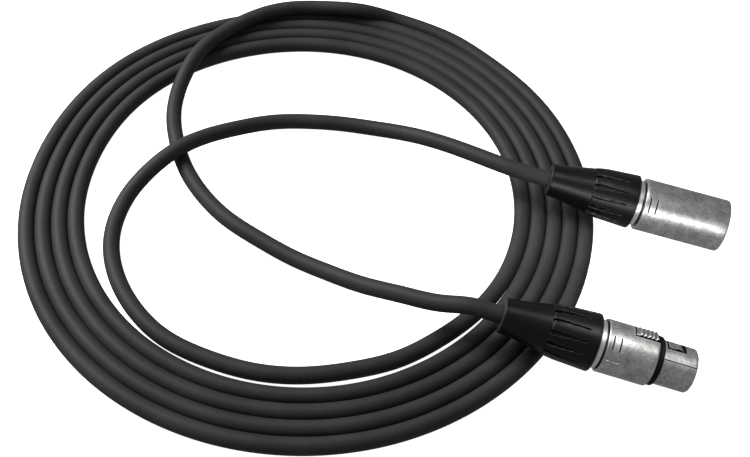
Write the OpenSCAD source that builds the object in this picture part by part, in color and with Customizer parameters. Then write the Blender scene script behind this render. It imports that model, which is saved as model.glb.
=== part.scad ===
// Three-pole balanced audio cable, laid as a flat coil of about four and a half
// turns with a male and a female connector lying side by side.
// Millimetres, +Z up, floor at z = 0.  The origin is on the floor, midway
// between the two connectors; +X runs along both of them, towards their fronts.
// Each connector is drawn on its own axis (+Z forward from the cable end of
// its boot, +X towards its key) and then laid down by lay_male or lay_female.

/* [Cable] */
// Outside diameter of the cable jacket
cable_d = 6.2; // [6.0:0.1:6.2]
// Outside diameter of one insulated conductor
core_d = 1.3; // [1.0:0.1:1.5]

/* [Coil] */
// Outer radius of the flat winding
coil_outer_r = 113.0; // [112:0.2:113.4]
// Inner radius of the flat winding
coil_inner_r = 86; // [85:1:88]

/* [Connector bodies] */
// Outside diameter of the male shell
male_shell_d = 20.3; // [19.8:0.1:20.6]
// Outside diameter of the rear part of the female shell
female_shell_d = 19.2; // [19.0:0.1:19.6]
// Diameter of the male mating mouth
mouth_d = 16.2; // [16.1:0.05:16.3]
// Outside diameter of the female nose
nose_d = 15.9; // [15.8:0.05:15.95]
// Length of the male shell
male_shell_l = 32.7; // [32:0.1:33.2]
// Length of the rear part of the female shell
female_back_l = 18.0; // [17.6:0.1:18.4]
// Length of the female nose ahead of the sealing ring
nose_l = 12.3; // [12:0.1:12.6]

/* [Contacts] */
// Diameter of a male contact pin
pin_d = 2.4; // [2.38:0.01:2.42]
// Bore of a female socket contact
socket_d = 2.46; // [2.45:0.01:2.5]
// Distance from the connector axis to each contact
pin_r = 3.81; // [3.8:0.01:3.82]
// Reach of a pin ahead of the insulator face
pin_reach = 12.0; // [11:0.1:12.5]

/* [Boots] */
// Length of the moulded boot
boot_l = 33.7; // [33.2:0.1:34.2]
// Diameter of the boot where the cable leaves it
boot_tip_d = 12.6; // [12:0.1:12.9]
// Largest diameter of the ribbed grip
boot_grip_d = 20.9; // [20.6:0.1:21.1]
// Number of flutes round the grip
flutes = 14; // [8:1:16]
// Diameter of the bright collar between boot and shell
collar_d = 17.6; // [17:0.1:18]
// Length of the bright collar
collar_l = 2.6; // [2:0.1:3]

/* [Latch] */
// Length of the thumb pad
pad_l = 8.6; // [8.3:0.1:8.9]
// Width of the latch
pad_w = 5.4; // [5.0:0.1:5.6]
// Height of the pad above the shell
pad_proud = 0.8; // [0.6:0.1:1.0]

/* [Pose] */
// Nose-down tilt of the male connector, degrees
male_tilt = 7.0; // [6.9:0.1:7.2]
// Nose-down tilt of the female connector, degrees
female_tilt = 9.4; // [9.3:0.1:9.6]
// Turn of the male connector about its axis, degrees
male_roll = -10; // [-20:1:0]
// Turn of the female connector about its axis, degrees
female_roll = -25; // [-30:1:-15]

/* [Hidden] */
$fn = 72;
eps = 0.01;

cr = cable_d / 2;
// stations along a connector's axis, from the cable end of the boot
s_grip = 16.6;                     // shoulder where the ribbed grip starts
s_collar = boot_l + 0.1;           // bright collar
s_shell = s_collar + collar_l;     // rear rim of the shell
s_front_m = s_shell + male_shell_l;
s_ring = s_shell + female_back_l;  // rear face of the sealing ring
ring_l = 2.4;
s_nose = s_ring + ring_l;
s_front_f = s_nose + nose_l;
s_jacket = 33;                     // where the jacket is stripped
s_face_m = s_front_m - 2.6 - pin_reach;   // insulator face in the male mouth
s_face_f = s_front_f - 0.4;
s_cup = 40.5;                      // rear ends of the solder cups
s_insert = 43.1;                   // rear faces of the insulators
// contact positions: [towards key, towards side]
CONTACT = [[0, pin_r], [0, -pin_r], [-pin_r, 0]];

// where each connector's axis starts (cable end of the boot)
male_x = -30.2;
male_y = 34;
female_x = -39.4;
female_y = -34.6;
male_z = (s_front_m - 0.4) * sin(male_tilt) + male_shell_d / 2 * cos(male_tilt);
female_z = (s_front_f - 0.6) * sin(female_tilt) + nose_d / 2 * cos(female_tilt);

module lay_male() {
  translate([male_x, male_y, male_z]) rotate([0, male_tilt, 0])
    rotate([male_roll, 0, 0]) rotate([0, 90, 0]) rotate([0, 0, 180]) children();
}
module lay_female() {
  translate([female_x, female_y, female_z]) rotate([0, female_tilt, 0])
    rotate([female_roll, 0, 0]) rotate([0, 90, 0]) rotate([0, 0, 180]) children();
}
// points on the two axes, by station
function on_male(s) = [male_x + s * cos(male_tilt), male_y, male_z - s * sin(male_tilt)];
function on_female(s) = [female_x + s * cos(female_tilt), female_y, female_z - s * sin(female_tilt)];

// ---- the cable's route outside the coil, laid out by hand ----
coil_c = [-124, 15];
FEMALE_ROUTE = [[-60, -34, 18.2], [-75, -31, 14.5], [-90, -27, 10.2], [-105, -21.5, 6.3],
  [-120, -16, 3.8], [-134.5, -10, 3.1], [-149.5, -3, 3.1], [-162.5, 6.5, 3.1],
  [-174, 19, 3.1], [-183, 34, 3.1], [-189, 50, 3.6], [-190, 65, 6.3], [-188, 77.5, 9.2],
  [-182.5, 92.5, 9.3], [-173, 106.5, 9.3], [-159, 118, 9.3], [-141.5, 123.5, 9.3],
  [-124, 126, 9.1], [-112, 129.5, 4.8], [-99, 128.5, 3.3], [-80.5, 122.5, 3.1]];
MALE_ROUTE = [[-50, 37, 18.8], [-63, 43, 16], [-76, 49.5, 12.1], [-90, 55, 7.8],
  [-104, 58, 4.5], [-118, 58.5, 3.2], [-132, 56.5, 3.1], [-146.5, 51.5, 4],
  [-158, 43, 6.2], [-168, 33.5, 8.6], [-177.5, 22.5, 9.4], [-184.5, 11.5, 7.8],
  [-190, -1, 4.6], [-191, -13, 3.1], [-188, -26.5, 3.1], [-181, -39.5, 3.1],
  [-169.5, -52, 3.1], [-154.5, -61.5, 3.1], [-138, -66, 3.1], [-120, -67.5, 3.1],
  [-103, -65, 3.1], [-87, -59, 3.1], [-72.5, -51, 3.1], [-60.5, -40, 3.1],
  [-50.5, -27.5, 3.1], [-42.5, -12.5, 3.1], [-38.5, 4, 3.1]];

// ---- a tube swept along points ----
function unit(v) = v / norm(v);
function dir_at(p, i) = unit(i == 0 ? p[1] - p[0]
  : i == len(p) - 1 ? p[i] - p[i - 1]
  : unit(p[i + 1] - p[i]) + unit(p[i] - p[i - 1]));
function ring_at(c, t, r, n, up) = let (s = unit(cross(t, up)), u = cross(s, t))
  [for (k = [0 : n - 1]) c + r * (cos(360 * k / n) * s + sin(360 * k / n) * u)];
module tube(p, r, n = 8, up = [0, 0, 1]) {
  m = len(p);
  polyhedron(
    points = [for (i = [0 : m - 1]) each ring_at(p[i], dir_at(p, i), r, n, up)],
    faces = concat(
      [[for (k = [0 : n - 1]) k]],
      [[for (k = [0 : n - 1]) m * n - 1 - k]],
      [for (i = [0 : m - 2], k = [0 : n - 1])
        [i * n + k, (i + 1) * n + k, (i + 1) * n + (k + 1) % n, i * n + (k + 1) % n]]),
    convexity = 8);
}

// ---- cable ----
module cable_coil() color([0.15, 0.15, 0.15])
  translate([coil_c[0], coil_c[1], 0]) rotate_extrude($fn = 180) {
    translate([coil_inner_r + cr, 0]) square([coil_outer_r - coil_inner_r - cable_d, cable_d]);
    for (r = [coil_inner_r + cr, coil_outer_r - cr]) translate([r, cr]) circle(r = cr, $fn = 48);
  }

module female_lead() color([0.16, 0.16, 0.16])
  tube(concat([for (s = [s_jacket, 22, 11, 0, -10]) on_female(s)], FEMALE_ROUTE), cr, 12);

module male_lead() color([0.16, 0.16, 0.16])
  tube(concat([for (s = [s_jacket, 22, 11, 0, -9]) on_male(s)], MALE_ROUTE), cr, 12);

// ---- pieces that both connectors have ----
// moulded boot: smooth neck, then a fluted grip over the bushing
module boot() color([0.07, 0.07, 0.07]) difference() {
  rotate_extrude() polygon([
    [3.6, 0], [boot_tip_d / 2 - 0.4, 0], [boot_tip_d / 2, 0.5],
    [boot_tip_d / 2 + 0.45, 5], [boot_tip_d / 2 + 1.2, 9.5], [8.05, 12.5], [8.7, 16], [8.8, s_grip],
    [9.2, s_grip + 0.9], [9.4, s_grip + 1.8], [9.8, s_grip + 4.8], [10.0, 25.3], [10.2, 28.5],
    [boot_grip_d / 2, boot_l - 0.2],
    [boot_grip_d / 2 - 0.2, boot_l], [7.9, boot_l], [7.9, 23], [6.3, 21], [6.3, 14.5], [3.6, 12]]);
  for (i = [0 : flutes - 1]) rotate([0, 0, 360 / flutes * (i + 0.5)])
    translate([9.9, 0, s_grip + 0.2]) rotate([0, 2.1, 0]) cylinder(r1 = 0.95, r2 = 0.35, h = 12.6, $fn = 24);
}

// threaded bushing: plain sleeve held in the boot, bright collar, thread into the shell
module bushing() color([0.78, 0.78, 0.78]) rotate_extrude() polygon([
  [6.9, 24], [7.9, 24], [7.9, s_collar], [collar_d / 2 - 0.3, s_collar],
  [collar_d / 2, s_collar + 0.3], [collar_d / 2, s_shell - 0.8], [collar_d / 2 - 0.3, s_shell - 0.5],
  [8.04, s_shell - 0.5], [8.04, s_shell + 5.4], [7.7, s_shell + 5.8], [6.9, s_shell + 5.8]]);

// clamping chuck: a split sleeve with four fingers round the cable
module chuck() color([0.85, 0.85, 0.82]) difference() {
  rotate_extrude() polygon([[3.45, 15.4], [4.9, 15.4], [5.9, 18], [5.9, 22.4], [6.5, 24.4],
    [6.5, 31], [3.45, 31]]);
  for (a = [0, 90]) rotate([0, 0, a])
    translate([-8, -0.4, 15]) cube([16, 0.8, 11]);
}

// one conductor, from the stripped cable to a solder cup
module core(c, turn) let (a = turn, b = [c[0], c[1]])
  tube([[1.3 * cos(a), 1.3 * sin(a), s_jacket],
    [1.4 * cos(a), 1.4 * sin(a), s_jacket + 1.2],
    [0.55 * b[0] + 0.5 * cos(a), 0.55 * b[1] + 0.5 * sin(a), s_jacket + 3.6],
    [b[0] * 0.96, b[1] * 0.96, s_jacket + 6],
    [b[0], b[1], s_cup + 0.1],
    [b[0], b[1], s_cup + 3.4]], core_d / 2, 8, [1, 0.3, 0]);

// solder cup and stem shared by pins and sockets, ending at station s_end
module cup(c, s_end) translate([c[0], c[1], 0]) difference() {
  translate([0, 0, s_cup]) cylinder(r = 1.5, h = s_end - s_cup, $fn = 48);
  translate([0, 0, s_cup - eps]) cylinder(r = 1.0, h = 3.6, $fn = 48);
  rotate([0, 0, c[0] == 0 ? sign(c[1]) * 90 : 180])
    translate([0, -0.7, s_cup - eps]) cube([2.5, 1.4, 2.2]);
}

// ---- male connector ----
module male_shell() color([0.72, 0.72, 0.7]) lay_male() union() {
  difference() {
    rotate_extrude($fn = 96) polygon([
      [mouth_d / 2, s_shell], [male_shell_d / 2 - 0.5, s_shell], [male_shell_d / 2, s_shell + 0.5],
      [male_shell_d / 2, s_front_m - 0.4], [male_shell_d / 2 - 0.4, s_front_m],
      [mouth_d / 2 + 0.3, s_front_m], [mouth_d / 2, s_front_m - 0.3],
      [mouth_d / 2, s_face_m - 0.5], [7.4, s_face_m - 0.5], [7.4, s_face_m - 1.5],
      [mouth_d / 2, s_face_m - 1.5]]);
    // marking grooves near the rear rim
    for (s = [1.9, 4.5]) translate([0, 0, s_shell + s])
      rotate([0, 0, 38]) rotate_extrude(angle = 28, $fn = 96) translate([male_shell_d / 2 - 0.35, -0.25]) square([2, 0.5]);
    // notch inside the mouth for the mating latch
    translate([mouth_d / 2 - 1, -3.2, s_front_m - 8.6]) cube([1.75, 6.4, 3]);
  }
  // key rib at the deep end of the mouth
  translate([7.5, -1.1, s_face_m - 0.6]) cube([0.9, 2.2, 5]);
}

module male_insert() color([0.1, 0.1, 0.1]) lay_male() difference() {
  union() {
    translate([0, 0, s_insert]) cylinder(r = mouth_d / 2 - 0.05, h = s_face_m - 1.5 - s_insert);
    translate([0, 0, s_insert + 1]) cylinder(r = 7.35, h = s_face_m - s_insert - 1);
  }
  for (c = CONTACT) translate([c[0], c[1], s_cup]) cylinder(r = 1.55, h = 30, $fn = 48);
}

module male_pin(i) color([0.8, 0.78, 0.72]) lay_male() union() {
  cup(CONTACT[i], s_face_m);
  translate([CONTACT[i][0], CONTACT[i][1], 0]) rotate_extrude($fn = 48) polygon([
    [0, s_face_m - 0.3], [pin_d / 2, s_face_m - 0.3], [pin_d / 2, s_face_m + pin_reach - 0.9],
    [0.75, s_face_m + pin_reach - 0.15], [0.4, s_face_m + pin_reach], [0, s_face_m + pin_reach]]);
}
module male_pin_1() male_pin(0);
module male_pin_2() male_pin(1);
module male_pin_3() male_pin(2);
module male_wire_screen() color([0.7, 0.5, 0.3]) lay_male() core(CONTACT[0], 100);
module male_wire_hot() color([0.75, 0.1, 0.1]) lay_male() core(CONTACT[1], 260);
module male_wire_cold() color([0.85, 0.85, 0.85]) lay_male() core(CONTACT[2], 180);
module male_boot() lay_male() boot();
module male_bushing() lay_male() bushing();
module male_chuck() lay_male() chuck();

// ---- female connector ----
latch_rear = s_ring - pad_l - 0.1;
pivot_s = latch_rear - 0.9;
pivot_x = 6.2;
spring_s = latch_rear + 5.2;

module female_shell() color([0.72, 0.72, 0.7]) lay_female() difference() {
  rotate_extrude($fn = 96) polygon([
    [mouth_d / 2, s_shell], [female_shell_d / 2 - 0.5, s_shell], [female_shell_d / 2, s_shell + 0.5],
    [female_shell_d / 2, s_ring - 0.3], [female_shell_d / 2 - 0.3, s_ring], [7.55, s_ring],
    [7.55, s_nose], [nose_d / 2, s_nose], [nose_d / 2, s_front_f - 0.6], [nose_d / 2 - 0.6, s_front_f],
    [7.05, s_front_f], [7.05, s_ring - 0.7], [mouth_d / 2, s_ring - 2.3]]);
  // thumb-pad window, open towards the ring
  translate([5.5, -pad_w / 2 - 0.45, latch_rear - 0.3]) cube([8, pad_w + 0.9, s_ring + 0.01 - latch_rear + 0.3]);
  // hook window in the nose
  translate([5.5, -2.6, s_nose + 0.75]) cube([8, 5.2, 6.95]);
  // keyway at the front of the nose
  translate([6.9, -1.4, s_front_f - 2.6]) cube([2, 2.8, 4]);
  // long groove down the side of the nose
  rotate([0, 0, 51]) translate([nose_d / 2 - 0.25, -0.25, s_nose + 0.3]) cube([1, 0.5, 14]);
  // marking grooves near the rear rim
  for (s = [1.9, 4.5]) translate([0, 0, s_shell + s])
    rotate([0, 0, 38]) rotate_extrude(angle = 28, $fn = 96) translate([female_shell_d / 2 - 0.35, -0.25]) square([2, 0.5]);
}

module female_insert() color([0.1, 0.1, 0.1]) lay_female() difference() {
  union() {
    translate([0, 0, s_insert]) cylinder(r = mouth_d / 2 - 0.05, h = s_ring - 2.4 - s_insert);
    translate([0, 0, s_insert + 1]) cylinder(r = 7.0, h = s_face_f - s_insert - 1);
  }
  // contact holes
  for (c = CONTACT) translate([c[0], c[1], 0]) {
    translate([0, 0, s_cup]) cylinder(r = 1.55, h = 16, $fn = 48);
    translate([0, 0, s_cup + 14.5]) cylinder(r = 1.8, h = s_face_f - s_cup - 15.3, $fn = 48);
    translate([0, 0, s_cup + 14.5]) cylinder(r = 1.42, h = 30, $fn = 48);
  }
  // channel for the latch, open at the rear
  translate([3.9, -3.4, s_insert - 1]) cube([6, 6.8, s_face_f - 3.6 - s_insert + 1]);
  // holes for the pivot
  translate([pivot_x, 4.5, pivot_s]) rotate([90, 0, 0]) cylinder(r = 0.5, h = 9, $fn = 48);
}

module female_socket(i) color([0.8, 0.78, 0.72]) lay_female() difference() {
  union() {
    cup(CONTACT[i], s_cup + 14.6);
    translate([CONTACT[i][0], CONTACT[i][1], s_cup + 14.5]) cylinder(r = 1.75, h = s_face_f - s_cup - 15.3, $fn = 48);
  }
  translate([CONTACT[i][0], CONTACT[i][1], s_face_f - 12.8]) cylinder(r = socket_d / 2, h = 13, $fn = 48);
}
module female_socket_1() female_socket(0);
module female_socket_2() female_socket(1);
module female_socket_3() female_socket(2);

// latch: pivoted lever with a thumb pad at the back and a hook in the nose window
module female_latch() color([0.68, 0.68, 0.68]) lay_female() difference() {
  union() {
    // pad
    intersection() {
      translate([6.2, -pad_w / 2, latch_rear]) cube([8, pad_w, pad_l - 0.4]);
      translate([0, 0, latch_rear - 1]) cylinder(r = female_shell_d / 2 + pad_proud, h = pad_l + 2, $fn = 96);
    }
    // arm under the ring and along the nose
    translate([5.3, -1.85, pivot_s]) cube([1.1, 3.7, s_nose + 7.3 - pivot_s]);
    // hook in the nose window
    intersection() {
      translate([5.3, -1.85, s_nose + 4.1]) cube([3, 3.7, 3.2]);
      translate([0, 0, s_nose]) cylinder(r = nose_d / 2 + 0.2, h = 9, $fn = 96);
    }
    // knuckle round the pivot
    translate([pivot_x, 2.6, pivot_s]) rotate([90, 0, 0]) cylinder(r = 1.1, h = 5.2, $fn = 48);
  }
  // finger ridges on the pad
  for (k = [0 : 3]) translate([female_shell_d / 2 + 0.45, -4, latch_rear + 1.0 + k * 1.8])
    cube([2, 8, 0.8]);
  // pivot bore
  translate([pivot_x, 4, pivot_s]) rotate([90, 0, 0]) cylinder(r = 0.55, h = 8, $fn = 48);
  // spring seat
  translate([5.2, 0, spring_s]) rotate([0, 90, 0]) cylinder(r = 1.5, h = 1.5, $fn = 48);
}

module female_latch_pivot() color([0.6, 0.6, 0.6]) lay_female()
  translate([pivot_x, 4.4, pivot_s]) rotate([90, 0, 0]) cylinder(r = 0.5, h = 8.8, $fn = 48);

// return spring under the pad, drawn as rings on a thin sleeve
module female_latch_spring() color([0.75, 0.75, 0.75]) lay_female()
  translate([3.9, 0, spring_s]) rotate([0, 90, 0]) union() {
    for (k = [0 : 3]) translate([0, 0, 0.22 + k * 0.78])
      rotate_extrude($fn = 32) translate([1.1, 0]) circle(r = 0.2, $fn = 16);
    difference() { cylinder(r = 1.15, h = 2.78, $fn = 32); translate([0, 0, -1]) cylinder(r = 1.05, h = 5, $fn = 32); }
  }

module female_ring() color([0.05, 0.05, 0.05]) lay_female() difference() {
  rotate_extrude($fn = 96) polygon([[7.55, s_ring + 0.02], [8.6, s_ring + 0.02], [8.9, s_ring + 0.4],
    [8.9, s_nose - 0.5], [8.5, s_nose - 0.02], [7.55, s_nose - 0.02]]);
}
module female_wire_screen() color([0.7, 0.5, 0.3]) lay_female() core(CONTACT[0], 100);
module female_wire_hot() color([0.75, 0.1, 0.1]) lay_female() core(CONTACT[1], 260);
module female_wire_cold() color([0.85, 0.85, 0.85]) lay_female() core(CONTACT[2], 180);
module female_boot() lay_female() boot();
module female_bushing() lay_female() bushing();
module female_chuck() lay_female() chuck();

cable_coil();
female_lead();
male_lead();
male_boot();
male_bushing();
male_chuck();
male_shell();
male_insert();
male_pin_1();
male_pin_2();
male_pin_3();
male_wire_screen();
male_wire_hot();
male_wire_cold();
female_boot();
female_bushing();
female_chuck();
female_shell();
female_insert();
female_socket_1();
female_socket_2();
female_socket_3();
female_latch();
female_latch_pivot();
female_latch_spring();
female_ring();
female_wire_screen();
female_wire_hot();
female_wire_cold();
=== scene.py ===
import bpy, math
import numpy as np
from mathutils import Matrix, Vector


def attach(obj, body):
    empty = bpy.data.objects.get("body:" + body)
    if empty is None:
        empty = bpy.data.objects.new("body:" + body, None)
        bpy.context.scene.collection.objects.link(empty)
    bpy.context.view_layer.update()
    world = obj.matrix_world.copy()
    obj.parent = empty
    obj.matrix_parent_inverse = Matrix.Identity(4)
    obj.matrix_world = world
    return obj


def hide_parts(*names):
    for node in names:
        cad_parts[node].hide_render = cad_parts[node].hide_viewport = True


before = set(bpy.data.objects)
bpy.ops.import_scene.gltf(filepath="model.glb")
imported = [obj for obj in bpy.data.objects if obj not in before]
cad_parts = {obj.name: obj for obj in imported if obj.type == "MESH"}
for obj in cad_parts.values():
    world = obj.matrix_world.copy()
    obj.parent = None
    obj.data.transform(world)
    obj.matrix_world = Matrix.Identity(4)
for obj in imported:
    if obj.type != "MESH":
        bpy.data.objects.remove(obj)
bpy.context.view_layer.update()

MM = 0.001
ROOT = "cable_and_shells"


# ------------------------------------------------------------------ frames
def rot(axis, deg):
    return Matrix.Rotation(math.radians(deg), 4, axis)


S_BOOT = 33.7
S_COLLAR = S_BOOT + 0.1
S_SHELL = S_COLLAR + 2.6
S_FRONT_M = S_SHELL + 32.7
S_RING = S_SHELL + 18.0
S_NOSE = S_RING + 2.4
S_FRONT_F = S_NOSE + 12.3
MALE = dict(x=-30.2, y=34.0, tilt=7.0, roll=-10.0)
FEMALE = dict(x=-39.4, y=-34.6, tilt=9.4, roll=-25.0)
MALE["z"] = (S_FRONT_M - 0.4) * math.sin(math.radians(7.0)) + 10.15 * math.cos(math.radians(7.0))
FEMALE["z"] = (S_FRONT_F - 0.6) * math.sin(math.radians(9.4)) + 7.95 * math.cos(math.radians(9.4))


def lay(c):
    """Connector frame (mm, +Z forward along the axis, +X towards the key) to the row frame (m)."""
    return (Matrix.Scale(MM, 4) @ Matrix.Translation((c["x"], c["y"], c["z"])) @ rot("Y", c["tilt"])
            @ rot("X", c["roll"]) @ rot("Y", 90) @ rot("Z", 180))


LAY_M, LAY_F = lay(MALE), lay(FEMALE)


def on_axis(c, s):
    t = math.radians(c["tilt"])
    return (c["x"] + s * math.cos(t), c["y"], c["z"] - s * math.sin(t))


# ------------------------------------------------------------------ camera
def make_camera():
    f, el, roll, turn, dist = 1080.0, math.radians(50.4), math.radians(3.4), math.radians(9.5), 0.424
    rz = Matrix.Rotation(turn, 3, "Z")
    right = Vector((1, 0, 0))
    up = Vector((0, math.sin(el), math.cos(el)))
    back = Vector((0, -math.cos(el), math.sin(el)))
    x = rz @ (math.cos(roll) * right + math.sin(roll) * up)
    y = rz @ (-math.sin(roll) * right + math.cos(roll) * up)
    z = rz @ back
    pos = Vector((-0.093, 0.0085, 0.0)) + dist * z
    cam = bpy.data.cameras.new("camera")
    cam.sensor_fit = "HORIZONTAL"
    cam.sensor_width = 36.0
    cam.lens = 36.0 * f / 750.0
    cam.clip_start, cam.clip_end = 0.01, 20.0
    ob = bpy.data.objects.new("camera", cam)
    m = Matrix((x, y, z)).transposed().to_4x4()
    m.translation = pos
    ob.matrix_world = m
    bpy.context.scene.collection.objects.link(ob)
    bpy.context.scene.camera = ob
    return ob


make_camera()

# ------------------------------------------------------------------ the cable's route (mm)
FEMALE_ROUTE = [(-60, -34, 18.2), (-75, -31, 14.5), (-90, -27, 10.2), (-105, -21.5, 6.3),
  (-120, -16, 3.8), (-134.5, -10, 3.1), (-149.5, -3, 3.1), (-162.5, 6.5, 3.1),
  (-174, 19, 3.1), (-183, 34, 3.1), (-189, 50, 3.6), (-190, 65, 6.3), (-188, 77.5, 9.2),
  (-182.5, 92.5, 9.3), (-173, 106.5, 9.3), (-159, 118, 9.3), (-141.5, 123.5, 9.3),
  (-124, 126, 9.1), (-112, 129.5, 4.8), (-99, 128.5, 3.3), (-80.5, 122.5, 3.1)]
MALE_ROUTE = [(-50, 37, 18.8), (-63, 43, 16), (-76, 49.5, 12.1), (-90, 55, 7.8),
  (-104, 58, 4.5), (-118, 58.5, 3.2), (-132, 56.5, 3.1), (-146.5, 51.5, 4),
  (-158, 43, 6.2), (-168, 33.5, 8.6), (-177.5, 22.5, 9.4), (-184.5, 11.5, 7.8),
  (-190, -1, 4.6), (-191, -13, 3.1), (-188, -26.5, 3.1), (-181, -39.5, 3.1),
  (-169.5, -52, 3.1), (-154.5, -61.5, 3.1), (-138, -66, 3.1), (-120, -67.5, 3.1),
  (-103, -65, 3.1), (-87, -59, 3.1), (-72.5, -51, 3.1), (-60.5, -40, 3.1),
  (-50.5, -27.5, 3.1), (-42.5, -12.5, 3.1)]
COIL_C = (-124.0, 14.5)
# radius of the outermost turn against the angle turned clockwise from 60 degrees
COIL_R = [115.0, 113.9, 113.0, 112.7, 112.5, 111.7, 110.7, 110.1, 111.0, 114.6, 115.4, 115.7]
# distance from one turn to the next at the same angles
COIL_PITCH = [6.2, 6.2, 6.25, 6.36, 6.36, 6.32, 6.26, 6.2, 6.2, 6.3, 6.22, 6.2]


def round_table(table, t):
    """Periodic smooth interpolation of a table of values round the coil."""
    n = len(table)
    u = (t % 360.0) / 360.0 * n
    i, f = int(u) % n, u - int(u)
    p0, p1, p2, p3 = (table[(i + k) % n] for k in (-1, 0, 1, 2))
    return 0.5 * ((2 * p1) + (-p0 + p2) * f + (2 * p0 - 5 * p1 + 4 * p2 - p3) * f * f
                  + (-p0 + 3 * p1 - 3 * p2 + p3) * f * f * f)


def coil_radius(t):
    """Radius of the spiral: the outermost turn's, less one pitch for each turn."""
    return round_table(COIL_R, t) - round_table(COIL_PITCH, t) * t / 360.0


def coil_point(t):
    a = math.radians(60.0 - t)
    r = coil_radius(t)
    return (COIL_C[0] + r * math.cos(a), COIL_C[1] + r * math.sin(a), 3.1)


def spline(points, step):
    """Natural cubic through the points by chord length, resampled about every step."""
    p = np.array(points, float)
    d = np.r_[0, np.cumsum(np.sqrt(np.linalg.norm(np.diff(p, axis=0), axis=1)) ** 2)]
    n = len(p)
    h = np.diff(d)
    A = np.zeros((n, n)); B = np.zeros((n, 3))
    A[0, 0] = A[-1, -1] = 1
    for i in range(1, n - 1):
        A[i, i - 1], A[i, i], A[i, i + 1] = h[i - 1], 2 * (h[i - 1] + h[i]), h[i]
        B[i] = 3 * ((p[i + 1] - p[i]) / h[i] - (p[i] - p[i - 1]) / h[i - 1])
    c = np.linalg.solve(A, B)
    out = []
    m = max(2, int(d[-1] / step))
    for t in np.linspace(0, d[-1], m + 1):
        i = min(n - 2, max(0, int(np.searchsorted(d, t, side="right") - 1)))
        s = t - d[i]
        b = (p[i + 1] - p[i]) / h[i] - h[i] * (2 * c[i] + c[i + 1]) / 3
        q = (c[i + 1] - c[i]) / (3 * h[i])
        out.append(p[i] + b * s + c[i] * s * s + q * s * s * s)
    return np.array(out)


def cable_points():
    pts = [on_axis(FEMALE, s) for s in (28, 20, 10, 0, -5, -10)] + FEMALE_ROUTE
    turns = 4 * 360 + 62
    t = 0.0
    while t <= turns:
        pts.append(coil_point(t))
        t += 15.0
    pts += list(reversed(MALE_ROUTE))
    pts += [on_axis(MALE, s) for s in (-9, -4.5, 0, 10, 20, 28)]
    return pts


PATH = spline(cable_points(), 2.0)


# ------------------------------------------------------------------ mesh helpers
def link(ob):
    bpy.context.scene.collection.objects.link(ob)
    return ob


def mesh_object(name, verts, faces, smooth=True):
    me = bpy.data.meshes.new(name)
    me.from_pydata([tuple(map(float, v)) for v in verts], [], faces)
    me.validate()
    me.update()
    if smooth:
        me.polygons.foreach_set("use_smooth", [True] * len(me.polygons))
    return link(bpy.data.objects.new(name, me))


def tube_mesh(name, path, radius, sides):
    p = np.array(path)
    n = len(p)
    t = np.gradient(p, axis=0)
    t /= np.linalg.norm(t, axis=1)[:, None]
    u = np.cross(t[0], (0, 0, 1.0)); u /= np.linalg.norm(u)
    verts, frames = [], []
    for i in range(n):
        u = u - (u @ t[i]) * t[i]
        u /= np.linalg.norm(u)
        v = np.cross(t[i], u)
        frames.append((u.copy(), v))
        for k in range(sides):
            a = 2 * math.pi * k / sides
            verts.append(p[i] + radius * (math.cos(a) * u + math.sin(a) * v))
    faces = []
    for i in range(n - 1):
        for k in range(sides):
            a, b = i * sides + k, i * sides + (k + 1) % sides
            faces.append((a, b, b + sides, a + sides))
    faces.append(tuple(range(sides - 1, -1, -1)))
    faces.append(tuple((n - 1) * sides + k for k in range(sides)))
    ob = mesh_object(name, verts, faces)
    uv = ob.data.uv_layers.new(name="along")
    dist = np.r_[0, np.cumsum(np.linalg.norm(np.diff(p, axis=0), axis=1))]
    for poly in ob.data.polygons:
        if len(poly.vertices) != 4:
            continue
        ks = [vi % sides for vi in poly.vertices]
        wrap = max(ks) - min(ks) > 1
        for li, vi, k in zip(poly.loop_indices, poly.vertices, ks):
            kk = k + sides if wrap and k == 0 else k
            uv.data[li].uv = (kk / sides, dist[vi // sides])
    return ob


cable = tube_mesh("cable", PATH * MM, 3.18 * MM, 32)


# ------------------------------------------------------------------ materials
def new_material(name):
    m = bpy.data.materials.new(name)
    m.use_nodes = True
    nt = m.node_tree
    b = nt.nodes["Principled BSDF"]
    return m, nt, b


def node(nt, kind, **vals):
    n = nt.nodes.new(kind)
    for k, v in vals.items():
        if k in n.inputs:
            n.inputs[k].default_value = v
        else:
            setattr(n, k, v)
    return n


def ramp(nt, fac, stops):
    r = nt.nodes.new("ShaderNodeValToRGB")
    el = r.color_ramp.elements
    while len(el) > 1:
        el.remove(el[-1])
    el[0].position, el[0].color = stops[0][0], (*stops[0][1], 1)
    for pos, col in stops[1:]:
        e = el.new(pos)
        e.color = (*col, 1)
    nt.links.new(fac, r.inputs[0])
    return r


def grey(v):
    return (v, v, v)


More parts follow.
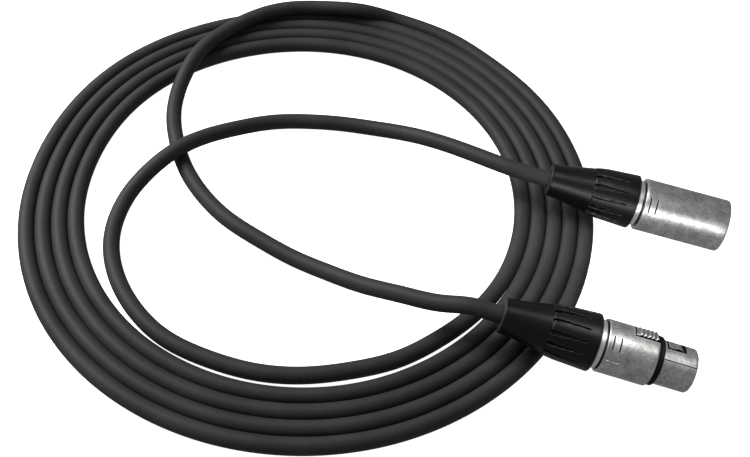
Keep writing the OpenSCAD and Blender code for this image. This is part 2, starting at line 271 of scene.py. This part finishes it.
def surface(name, tone, tone_scale, rough, grain, grain_scale, grain_depth, metal=0.0, spec=0.5, wear=None):
    """A material whose colour drifts slowly, whose roughness follows a fine grain, and whose grain also stands up.

    tone and rough are (low, high); tone ends are colours. wear = (colour, amount) lightens convex edges."""
    m, nt, b = new_material(name)
    co = node(nt, "ShaderNodeTexCoord")
    slow = node(nt, "ShaderNodeTexNoise", Scale=tone_scale, Detail=4.0, Roughness=0.55)
    fine = node(nt, "ShaderNodeTexNoise", Scale=grain_scale, Detail=5.0, Roughness=0.62)
    for n in (slow, fine):
        nt.links.new(co.outputs["Object"], n.inputs["Vector"])
    col = ramp(nt, slow.outputs["Fac"], [(0.32, tone[0]), (0.68, tone[1])])
    speck = node(nt, "ShaderNodeMix", data_type="RGBA", blend_type="MULTIPLY")
    speck.inputs["Factor"].default_value = grain
    gr = ramp(nt, fine.outputs["Fac"], [(0.3, grey(0.55)), (0.7, grey(1.0))])
    nt.links.new(col.outputs[0], speck.inputs[6])
    nt.links.new(gr.outputs[0], speck.inputs[7])
    out = speck.outputs[2]
    if wear:
        geo = node(nt, "ShaderNodeNewGeometry")
        edge = ramp(nt, geo.outputs["Pointiness"], [(0.515, grey(0.0)), (0.56, grey(wear[1]))])
        mix = node(nt, "ShaderNodeMix", data_type="RGBA", blend_type="MIX")
        nt.links.new(edge.outputs[0], mix.inputs["Factor"])
        nt.links.new(out, mix.inputs[6])
        mix.inputs[7].default_value = (*wear[0], 1)
        out = mix.outputs[2]
    nt.links.new(out, b.inputs["Base Color"])
    rr = ramp(nt, fine.outputs["Fac"], [(0.3, grey(rough[0])), (0.7, grey(rough[1]))])
    nt.links.new(rr.outputs[0], b.inputs["Roughness"])
    bump = node(nt, "ShaderNodeBump", Strength=grain_depth, Distance=0.00006)
    nt.links.new(fine.outputs["Fac"], bump.inputs["Height"])
    nt.links.new(bump.outputs[0], b.inputs["Normal"])
    b.inputs["Metallic"].default_value = metal
    b.inputs["Specular IOR Level"].default_value = spec
    return m


def painted_seam_shade(nt, colour, reach, dark):
    """Painted shade: multiplies a colour down inside seams and grooves, where shade falls."""
    ao = node(nt, "ShaderNodeAmbientOcclusion", Distance=reach * MM, samples=8, only_local=False)
    keep = ramp(nt, ao.outputs["AO"], [(0.35, grey(dark)), (0.80, grey(1.0))])
    mul = node(nt, "ShaderNodeMix", data_type="RGBA", blend_type="MULTIPLY")
    mul.inputs["Factor"].default_value = 1.0
    nt.links.new(colour, mul.inputs[6])
    nt.links.new(keep.outputs[0], mul.inputs[7])
    return mul.outputs[2]


def metal_surface(name, dark, light, r0, r1, metal=0.92, reach=1.1):
    """Satin plated metal: fine mottling over a drifting tone, brighter on rubbed edges, with painted shade in seams and
    grooves.
    """
    m, nt, b = new_material(name)
    co = node(nt, "ShaderNodeTexCoord")
    slow = node(nt, "ShaderNodeTexNoise", Scale=260.0, Detail=5.0, Roughness=0.6)
    spot = node(nt, "ShaderNodeTexNoise", Scale=1100.0, Detail=4.0, Roughness=0.65)
    fine = node(nt, "ShaderNodeTexNoise", Scale=3400.0, Detail=3.0, Roughness=0.6)
    for n in (slow, spot, fine):
        nt.links.new(co.outputs["Object"], n.inputs["Vector"])
    col = ramp(nt, slow.outputs["Fac"], [(0.34, dark), (0.66, light)])
    sp = ramp(nt, spot.outputs["Fac"], [(0.34, grey(0.50)), (0.60, grey(1.0))])
    mul = node(nt, "ShaderNodeMix", data_type="RGBA", blend_type="MULTIPLY")
    mul.inputs["Factor"].default_value = 0.75
    nt.links.new(col.outputs[0], mul.inputs[6])
    nt.links.new(sp.outputs[0], mul.inputs[7])
    geo = node(nt, "ShaderNodeNewGeometry")
    edge = ramp(nt, geo.outputs["Pointiness"], [(0.515, grey(0.0)), (0.56, grey(0.6))])
    mix = node(nt, "ShaderNodeMix", data_type="RGBA", blend_type="MIX")
    nt.links.new(edge.outputs[0], mix.inputs["Factor"])
    nt.links.new(mul.outputs[2], mix.inputs[6])
    mix.inputs[7].default_value = (0.86, 0.86, 0.84, 1)
    # painted shade: the base colour falls to 3 per cent of itself inside seams and grooves
    nt.links.new(painted_seam_shade(nt, mix.outputs[2], reach, 0.03), b.inputs["Base Color"])
    rr = ramp(nt, spot.outputs["Fac"], [(0.3, grey(r1)), (0.7, grey(r0))])
    nt.links.new(rr.outputs[0], b.inputs["Roughness"])
    bump = node(nt, "ShaderNodeBump", Strength=0.3, Distance=0.00005)
    nt.links.new(fine.outputs["Fac"], bump.inputs["Height"])
    nt.links.new(bump.outputs[0], b.inputs["Normal"])
    b.inputs["Metallic"].default_value = metal
    return m


M_JACKET = surface("cable_jacket", (grey(0.026), grey(0.037)), 60.0, (0.52, 0.66), 0.50, 1500.0, 0.50, spec=0.18)
M_BOOT = surface("boot_plastic", (grey(0.0016), grey(0.0028)), 90.0, (0.32, 0.42), 0.25, 2600.0, 0.14, spec=0.22,
                 wear=(grey(0.05), 0.7))
M_NICKEL = metal_surface("satin_nickel", (0.38, 0.38, 0.372), (0.62, 0.62, 0.606), 0.32, 0.44)
M_COLLAR = metal_surface("bright_nickel", (0.50, 0.50, 0.49), (0.70, 0.70, 0.685), 0.30, 0.40)
M_LATCH = metal_surface("latch_steel", (0.36, 0.36, 0.355), (0.52, 0.52, 0.51), 0.34, 0.44, 0.9, 1.6)
M_SEAL = surface("seal_rubber", (grey(0.0025), grey(0.0045)), 140.0, (0.50, 0.62), 0.3, 2400.0, 0.25, spec=0.14)
# near-black material given to faces that stand in shade: painted shade on groove walls, opening walls and the latch's
# flanks
M_PAINTED_SHADE = surface("painted_shade_dark", (grey(0.0030), grey(0.0050)), 140.0, (0.50, 0.60), 0.25, 2600.0, 0.15, spec=0.15)
M_INSERT = surface("insert_plastic", (grey(0.010), grey(0.017)), 120.0, (0.42, 0.52), 0.25, 2600.0, 0.15, spec=0.45)
M_CONTACT = surface("contact_silver", ((0.74, 0.70, 0.60), (0.84, 0.81, 0.72)), 260.0, (0.16, 0.26), 0.15, 3600.0, 0.08, metal=1.0,
                    wear=((0.80, 0.62, 0.36), 0.5))
M_CHUCK = surface("chuck_plastic", ((0.60, 0.58, 0.52), (0.70, 0.68, 0.62)), 130.0, (0.40, 0.52), 0.2, 2200.0, 0.15)
M_STEEL = surface("spring_steel", ((0.50, 0.50, 0.50), (0.62, 0.62, 0.61)), 260.0, (0.22, 0.32), 0.18, 3600.0, 0.12, metal=1.0)
M_COPPER = surface("bare_copper", ((0.66, 0.33, 0.19), (0.80, 0.46, 0.28)), 300.0, (0.24, 0.36), 0.25, 3800.0, 0.2, metal=1.0)
M_RED = surface("wire_red", ((0.42, 0.020, 0.018), (0.55, 0.035, 0.030)), 150.0, (0.28, 0.38), 0.15, 2600.0, 0.1)
M_WHITE = surface("wire_white", (grey(0.68), grey(0.80)), 150.0, (0.30, 0.40), 0.12, 2600.0, 0.1)

cable.data.materials.append(M_JACKET)
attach(cable, ROOT)
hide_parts("cable_coil", "female_lead", "male_lead")


# ------------------------------------------------------------------ connector meshes
def place(verts, lay_matrix):
    m = np.array(lay_matrix)
    v = np.asarray(verts, float)
    return v @ m[:3, :3].T + m[:3, 3]


def finish_piece(ob, mat, sharp=32.0, bevel=None):
    ob.data.materials.append(mat)
    ob.data.set_sharp_from_angle(angle=math.radians(sharp))
    if bevel:
        b = ob.modifiers.new("edge", "BEVEL")
        b.width, b.segments, b.limit_method = bevel * MM, 2, "ANGLE"
        b.angle_limit = math.radians(50)
        b.use_clamp_overlap = True
    return ob


def darken(ob, lay_matrix, mat, choose):
    """Gives the faces picked by choose(station, angle, radius, radial, axial) a second material."""
    ob.data.materials.append(mat)
    back = lay_matrix.inverted()
    turn = lay_matrix.to_3x3().normalized().inverted()
    for p in ob.data.polygons:
        c, n = back @ p.center, turn @ p.normal
        r = max(math.hypot(c.x, c.y), 1e-6)
        if choose(c.z, math.degrees(math.atan2(c.y, c.x)), r, (n.x * c.x + n.y * c.y) / r, n.z):
            p.material_index = len(ob.data.materials) - 1


def revolve(name, lay_matrix, rows, nth, fun=None):
    """Closed ring swept round the axis; rows are (station, radius, tag), fun changes a radius by angle."""
    n = len(rows)
    th = np.arange(nth) * 360.0 / nth
    verts = []
    for s, r, tag in rows:
        for a in th:
            q = fun(s, a, r, tag) if fun else r
            verts.append((q * math.cos(math.radians(a)), q * math.sin(math.radians(a)), s))
    faces = []
    for i in range(n):
        j = (i + 1) % n
        for k in range(nth):
            l = (k + 1) % nth
            faces.append((i * nth + k, i * nth + l, j * nth + l, j * nth + k))
    return mesh_object(name, place(verts, lay_matrix), faces)


def sheet_ring(name, lay_matrix, ss, ths, ro, ri, hole):
    """Thick ring with rectangular openings: ro and ri give both radii, hole(station, angle) is true inside an opening."""
    ns, nt_ = len(ss), len(ths)
    def vert(r, a, s):
        return (r * math.cos(math.radians(a)), r * math.sin(math.radians(a)), s)
    V = [vert(ro(s, a), a, s) for s in ss for a in ths] + [vert(ri(s, a), a, s) for s in ss for a in ths]
    off = ns * nt_
    def there(i, j):
        if i < 0 or i >= ns - 1:
            return False
        j %= nt_
        a0, a1 = ths[j], ths[(j + 1) % nt_]
        if a1 < a0:
            a1 += 360.0
        return not hole(0.5 * (ss[i] + ss[i + 1]), ((a0 + a1) / 2.0 + 180.0) % 360.0 - 180.0)
    faces = []
    for i in range(ns - 1):
        for j in range(nt_):
            if not there(i, j):
                continue
            l = (j + 1) % nt_
            a, b, c, d = i * nt_ + j, i * nt_ + l, (i + 1) * nt_ + l, (i + 1) * nt_ + j
            faces += [(a, b, c, d), (off + d, off + c, off + b, off + a)]
            for p, q, ni, nj in ((a, b, i - 1, j), (b, c, i, j + 1), (c, d, i + 1, j), (d, a, i, j - 1)):
                if not there(ni, nj):
                    faces.append((q, p, off + p, off + q))
    used = sorted({v for f in faces for v in f})
    at = {v: k for k, v in enumerate(used)}
    return mesh_object(name, place([V[v] for v in used], lay_matrix), [tuple(at[v] for v in f) for f in faces])


def slab(ss, ys, top, bottom):
    """Closed block over a grid in station and side, with its top and bottom given as heights towards the key."""
    ns, ny = len(ss), len(ys)
    V = [(top(s, y), y, s) for s in ss for y in ys] + [(bottom(s, y), y, s) for s in ss for y in ys]
    off, F = ns * ny, []
    for i in range(ns - 1):
        for j in range(ny - 1):
            a, b, c, d = i * ny + j, i * ny + j + 1, (i + 1) * ny + j + 1, (i + 1) * ny + j
            F += [(a, b, c, d), (off + d, off + c, off + b, off + a)]
    for i in range(ns - 1):
        for a, b in (((i + 1) * ny, i * ny), (i * ny + ny - 1, (i + 1) * ny + ny - 1)):
            F.append((b, a, off + a, off + b))
    for j in range(ny - 1):
        for a, b in ((j, j + 1), ((ns - 1) * ny + j + 1, (ns - 1) * ny + j)):
            F.append((b, a, off + a, off + b))
    return V, F


def joined(name, lay_matrix, parts):
    V, F = [], []
    for v, f in parts:
        k = len(V)
        V += v
        F += [tuple(i + k for i in g) for g in f]
    return mesh_object(name, place(V, lay_matrix), F)


def smooth01(x):
    x = min(1.0, max(0.0, x))
    return x * x * (3 - 2 * x)


def dense(a, b, step):
    n = max(1, int(round((b - a) / step)))
    out = [a + (b - a) * i / n for i in range(n + 1)]
    return out


# boot: neck, step at the shoulder, tapering flutes, plain band
BOOT_PROFILE = [(0.5, 6.3), (5, 6.75), (9.5, 7.5), (12.5, 8.05), (16, 8.7), (16.55, 8.8), (16.95, 9.1), (17.5, 9.2),
                (18.4, 9.4), (19.4, 9.55), (21.4, 9.8), (23.3, 9.92), (25.3, 10.02), (28.5, 10.2), (29.3, 10.25),
                (32.6, 10.45), (33.5, 10.45), (33.7, 10.28)]
FLUTES = 14


def boot_piece(name, lay_matrix, body, nodename):
    ps, pr = zip(*BOOT_PROFILE)
    outer = [(0.0, 5.85), (0.12, 6.1), (0.28, 6.23)] + [(s, float(np.interp(s, ps, pr))) for s in
             dense(0.5, 15.5, 0.75) + dense(15.8, 18.4, 0.13) + dense(18.8, 29.2, 0.4) + [29.4, 29.6, 29.8, 30.0, 31.0, 32.0, 32.6, 33.2, 33.5, 33.7]]
    rows = [(s, r, "o") for s, r in outer]
    rows += [(33.7, 7.95, "i"), (28.0, 7.95, "i"), (23.0, 7.95, "i"), (21.0, 6.35, "i"), (14.5, 6.35, "i"), (12.0, 3.5, "i"),
             (6.0, 3.42, "i"), (0.25, 3.42, "i"), (0.0, 3.6, "i")]

    def fun(s, a, r, tag):
        if tag != "o" or s < 16.2 or s > 29.4:
            return r
        d = (a * FLUTES / 360.0) % 1.0
        w = abs(d - 0.5) * 360.0 / FLUTES * math.pi / 180.0 * r
        half = 1.0 - 0.78 * (s - 17.7) / 11.7 if s > 17.7 else math.sqrt(max(0.0, 1 - ((17.7 - s) / 1.5) ** 2))
        if half <= 0.02 or w >= half:
            return r
        depth = 1.15 * (0.3 + 0.7 * half)
        return r - depth * smooth01((half - w) / (0.34 * half + 0.04))

    ob = revolve(name, lay_matrix, rows, FLUTES * 22, fun)
    finish_piece(ob, M_BOOT, 50)
    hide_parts(nodename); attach(ob, body)
    return ob


boot_piece("boot_male", LAY_M, "male_boot_body", "male_boot")
boot_piece("boot_female", LAY_F, "female_boot_body", "female_boot")

# marking grooves near the rear rim of both shells, part of the way round
G_ANG = (38.0, 66.0)
G_AT = (S_SHELL + 1.9, S_SHELL + 4.5)


def groove(s, a):
    """Depth of the marking grooves at a station and an angle."""
    if not (G_ANG[0] <= a <= G_ANG[1]):
        return 0.0
    return max([0.0] + [0.32 * smooth01((0.28 - abs(s - g)) / 0.14) for g in G_AT])


def groove_rows():
    out = []
    for g in G_AT:
        out += [g - 0.3, g - 0.22, g - 0.14, g, g + 0.14, g + 0.22, g + 0.3]
    return out


def male_shell_piece():
    a, b = S_SHELL, S_FRONT_M
    face = b - 14.6
    out = [(a, 9.95), (a + 0.08, 10.08), (a + 0.2, 10.15)]
    out += [(s, 10.15) for s in sorted(groove_rows() + [a + 1.1, a + 3.2] + dense(a + 6.0, b - 1.2, 2.2))]
    out += [(b - 0.4, 10.15), (b - 0.18, 10.1), (b - 0.06, 10.0), (b, 9.85)]
    rows = [(s, r, "o") for s, r in out]
    inn = [(b, 8.5), (b - 0.12, 8.25), (b - 0.35, 8.1), (b - 3.0, 8.1), (b - 5.58, 8.1), (b - 5.6, 8.1), (b - 7.0, 8.1), (b - 8.58, 8.1),
           (b - 8.6, 8.1), (face + 4.4, 8.1), (face + 4.38, 8.1), (face + 2.0, 8.1), (face - 0.5, 8.1), (face - 0.5, 7.4), (face - 1.5, 7.4),
           (face - 1.5, 8.1), (a + 2.0, 8.1), (a, 8.1)]
    rows += [(s, r, "i") for s, r in inn]

    def fun(s, ang, r, tag):
        if tag == "o":
            q = r - groove(s, ang)
            if 81.0 <= ang <= 83.0 and G_AT[0] + 0.3 <= s <= G_AT[1] - 0.3:
                q += 0.05
            return q
        sg = (ang + 180.0) % 360.0 - 180.0
        if b - 8.585 <= s <= b - 5.59 and abs(sg) <= 23.0:
            return 8.8
        if face - 0.4 <= s <= face + 4.39 and abs(sg) <= 8.1 and r > 8.0:
            return 7.5
        return r

    ob = revolve("shell_male", LAY_M, rows, 180, fun)
    finish_piece(ob, M_NICKEL, 38)
    # painted shade: the walls of the marking grooves take the near-black material
    darken(ob, LAY_M, M_PAINTED_SHADE, lambda s, ang, r, radial, axial: G_AT[0] - 0.3 < s < G_AT[-1] + 0.3 and 9.0 < r < 10.06)
    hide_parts("male_shell"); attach(ob, ROOT)
    return ob


male_shell_piece()

LATCH_REAR = S_RING - 8.7
PIVOT_S = LATCH_REAR - 0.9


def female_shell_piece():
    a, g0, g1, b = S_SHELL, S_RING, S_NOSE, S_FRONT_F
    win = (g1 + 0.75, g1 + 7.7)
    ss = [a, a + 0.12, a + 0.3, a + 0.55, a + 1.1, a + 3.2] + groove_rows() + dense(a + 6.6, LATCH_REAR - 0.9, 0.9)
    ss += [LATCH_REAR - 0.3] + dense(LATCH_REAR + 1.0, g0 - 1.0, 1.5) + [g0 - 0.35, g0 - 0.12, g0, g0 + 0.002]
    ss += [g0 + 1.2, g1 - 0.002, g1, g1 + 0.15, g1 + 0.4, win[0]] + dense(win[0] + 1.0, win[1] - 1.0, 1.2) + [win[1]]
    ss += [win[1] + 0.25] + dense(win[1] + 0.9, b - 1.3, 0.6) + [b - 1.0, b - 0.6, b - 0.42, b - 0.2, b]
    ss = sorted(set(round(v, 4) for v in ss))
    special = [20.2, -20.2, 4.0, -4.0, 38.0, 66.0, 49.6, 50.0, 52.0, 52.4, 90.2, 90.6, 91.4, 91.8]
    ths = [t for t in np.arange(0.0, 360.0, 2.5) if min(abs((t - q + 180.0) % 360.0 - 180.0) for q in special) > 0.9]
    ths = sorted(ths + [q % 360.0 for q in special])

    def ro(s, ang):
        if s <= a + 0.56:
            return float(np.interp(s, [a, a + 0.12, a + 0.3, a + 0.55], [9.4, 9.54, 9.6, 9.6]))
        if s <= g0 + 1e-4:
            q = float(np.interp(s, [g0 - 0.35, g0 - 0.12, g0], [9.6, 9.52, 9.35])) - groove(s, ang)
            if 90.5 <= ang <= 91.5 and a + 1.5 <= s <= a + 6.4:
                q += 0.12
            return q
        if s < g1 - 1e-4:
            return 7.55
        q = float(np.interp(s, [g1, g1 + 0.15, b - 0.6, b - 0.42, b - 0.2, b], [7.8, 7.95, 7.95, 7.87, 7.7, 7.4]))
        if 49.9 <= ang <= 52.1 and s > g1 + 0.3:
            q -= 0.2
        elif 52.1 < ang < 61.5 and s > g1 + 0.3:
            q -= 0.04
        sg = (ang + 180.0) % 360.0 - 180.0
        if s > win[1] + 0.2 and abs(sg) <= 13.0:
            q -= 0.28 * smooth01((b + 0.6 - s) / 3.0)
        return q

    def ri(s, ang):
        return float(np.interp(s, [g0 - 2.3, g0 - 0.7, g0, b - 0.3, b], [8.1, 7.05, 7.05, 7.05, 7.15]))

    def hole(s, ang):
        if LATCH_REAR - 0.3 < s < g0 and abs(ang) < 20.2:
            return True
        if win[0] < s < win[1] and abs(ang) < 20.2:
            return True
        return b - 1.0 < s < b and abs(ang) < 4.0

    ob = sheet_ring("shell_female", LAY_F, ss, ths, ro, ri, hole)
    finish_piece(ob, M_NICKEL, 38)

    # painted shade: the walls of the marking grooves, of the groove along the nose and of the latch opening and window
    # take the near-black material
    def painted_shade_faces(s, ang, r, radial, axial):
        if G_AT[0] - 0.3 < s < G_AT[-1] + 0.3:
            return 9.0 < r < 9.51
        if s > g1 + 0.35 and 49.5 < ang < 52.5:
            return 7.5 < r < 7.85
        return abs(radial) < 0.5 and abs(ang) < 21.2 and LATCH_REAR - 0.5 < s < win[1] + 0.3

    darken(ob, LAY_F, M_PAINTED_SHADE, painted_shade_faces)
    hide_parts("female_shell"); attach(ob, ROOT)
    return ob


female_shell_piece()


def latch_piece():
    p0, p1 = LATCH_REAR + 0.2, LATCH_REAR + 8.2
    ridges = 5
    pitch = 1.45
    r0 = p0 + 0.95

    def top(s, y):
        R = 9.74
        k = (s - r0) / pitch
        if 0.0 <= k <= ridges:
            ph = k % 1.0
            R = 9.70 + 0.58 * smooth01(1.0 - abs(ph - 0.5) / 0.42)
        e = min(s - p0, p1 - s, 0.4) / 0.4
        f = min(2.55 - abs(y), 0.35) / 0.35
        R -= 0.28 * (1 - math.sqrt(max(0.0, 1 - (1 - e) ** 2))) + 0.28 * (1 - math.sqrt(max(0.0, 1 - (1 - f) ** 2)))
        return math.sqrt(R * R - y * y)

    ys = [-2.55, -2.45, -2.3, -2.2] + dense(-1.9, 1.9, 0.38) + [2.2, 2.3, 2.45, 2.55]
    pad = slab(dense(p0, p0 + 0.4, 0.1) + dense(p0 + 0.5, p1 - 0.5, 0.1) + dense(p1 - 0.4, p1, 0.1), ys, top, lambda s, y: 6.2)
    arm = slab(dense(PIVOT_S, S_NOSE + 7.3, 0.6), dense(-1.85, 1.85, 0.37), lambda s, y: 6.4, lambda s, y: 5.3)
    h0, h1 = S_NOSE + 4.1, S_NOSE + 7.3

    def crown(s, y):
        lift = smooth01((h1 - s) / 1.9)
        return 6.3 + (math.sqrt(8.15 ** 2 - y * y) - 6.3) * (0.35 + 0.65 * lift) - 0.12 * smooth01((h0 + 0.3 - s) / 0.3)

    hook = slab(dense(h0, h1, 0.16), dense(-1.85, 1.85, 0.2), crown, lambda s, y: 5.4)
    plate = slab(dense(S_NOSE + 1.5, h0 + 0.6, 0.3), dense(-1.85, 1.85, 0.2), lambda s, y: math.sqrt(7.86 ** 2 - y * y), lambda s, y: 5.6)
    knuckle_v, knuckle_f = [], []
    n = 32
    for y in (-2.6, 2.6):
        for k in range(n):
            a = 2 * math.pi * k / n
            knuckle_v.append((6.2 + 1.1 * math.cos(a), y, PIVOT_S + 1.1 * math.sin(a)))
    for k in range(n):
        l = (k + 1) % n
        knuckle_f.append((k, l, n + l, n + k))
    knuckle_f.append(tuple(range(n - 1, -1, -1)))
    knuckle_f.append(tuple(range(n, 2 * n)))
    ob = joined("latch_female", LAY_F, [pad, arm, hook, plate, (knuckle_v, knuckle_f)])
    finish_piece(ob, M_LATCH, 40)
    # painted shade: the flanks and the parts below the shell's wall take the near-black material
    darken(ob, LAY_F, M_PAINTED_SHADE, lambda s, ang, r, radial, axial: radial < 0.5 or r < 6.7)
    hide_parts("female_latch"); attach(ob, "female_latch_body")
    return ob


latch_piece()


def seal_piece():
    a, b = S_RING + 0.03, S_NOSE - 0.03
    rows = [(a, 7.56), (a, 8.45), (a + 0.08, 8.62), (a + 0.25, 8.8), (a + 0.5, 8.9), (a + 0.85, 8.9), (a + 1.0, 8.76),
            (a + 1.15, 8.76), (a + 1.3, 8.9), (b - 0.55, 8.9), (b - 0.3, 8.8), (b - 0.1, 8.6), (b, 8.4), (b, 7.56)]
    ob = revolve("seal_female", LAY_F, [(s, r, "o") for s, r in rows], 144)
    finish_piece(ob, M_SEAL, 50)
    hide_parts("female_ring"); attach(ob, ROOT)
    return ob


seal_piece()

# ------------------------------------------------------------------ finishes for the CAD nodes that stay
NODE_FINISH = {"bushing": M_COLLAR, "chuck": M_CHUCK, "insert": M_INSERT, "pin": M_CONTACT, "socket": M_CONTACT,
               "wire_screen": M_COPPER, "wire_hot": M_RED, "wire_cold": M_WHITE,
               "latch_pivot": M_STEEL, "latch_spring": M_STEEL}
for nm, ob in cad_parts.items():
    for key, mat in NODE_FINISH.items():
        if nm.split("_", 1)[1].startswith(key):
            ob.data.materials.clear()
            ob.data.materials.append(mat)


# ------------------------------------------------------------------ floor and light
def make_stage():
    s = 3.0
    ob = mesh_object("floor", [(-s, -s, 0), (s, -s, 0), (s, s, 0), (-s, s, 0)], [(0, 1, 2, 3)], smooth=False)
    m, nt, b = new_material("floor_white")
    b.inputs["Base Color"].default_value = (0.9, 0.9, 0.9, 1)
    b.inputs["Roughness"].default_value = 0.9
    b.inputs["Emission Color"].default_value = (1, 1, 1, 1)
    b.inputs["Emission Strength"].default_value = FLOOR_GLOW
    ob.data.materials.append(m)
    # the ground is cut out in white: it doesn't light the object from below
    ob.visible_diffuse = ob.visible_glossy = False
    w = bpy.data.worlds.new("studio")
    bpy.context.scene.world = w
    w.use_nodes = True
    w.node_tree.nodes["Background"].inputs["Color"].default_value = (1, 1, 1, 1)
    w.node_tree.nodes["Background"].inputs["Strength"].default_value = WORLD
    for name, loc, sx, sy, power, aim in LIGHTS:
        li = bpy.data.lights.new(name, "AREA")
        li.shape = "RECTANGLE"; li.size = sx; li.size_y = sy; li.energy = power
        li.spread = math.radians(180.0 if name == "key" else 36.0 if name == "strip_f" else 60.0)
        lo = link(bpy.data.objects.new(name, li))
        lo.location = loc
        lo.rotation_euler = (Vector(aim) - Vector(loc)).to_track_quat("-Z", "Y").to_euler()
        lo.visible_camera = False


FLOOR_GLOW = 1.0
WORLD = 0.28
# name, place, size along x, size across, power, point aimed at
LIGHTS = (("key", (-0.75, 0.20, 0.60), 0.5, 0.5, 12.0, (-0.12, 0.0, 0.0)),
          ("strip_f", (0.03, -0.024, 0.156), 0.15, 0.05, 0.0178, (0.012, -0.038, 0.015)),
          ("strip_m", (0.004, -0.020, 0.038), 0.10, 0.02, 0.0076, (0.004, 0.036, 0.013)))
make_stage()
bpy.context.scene.view_settings.view_transform = "Standard"
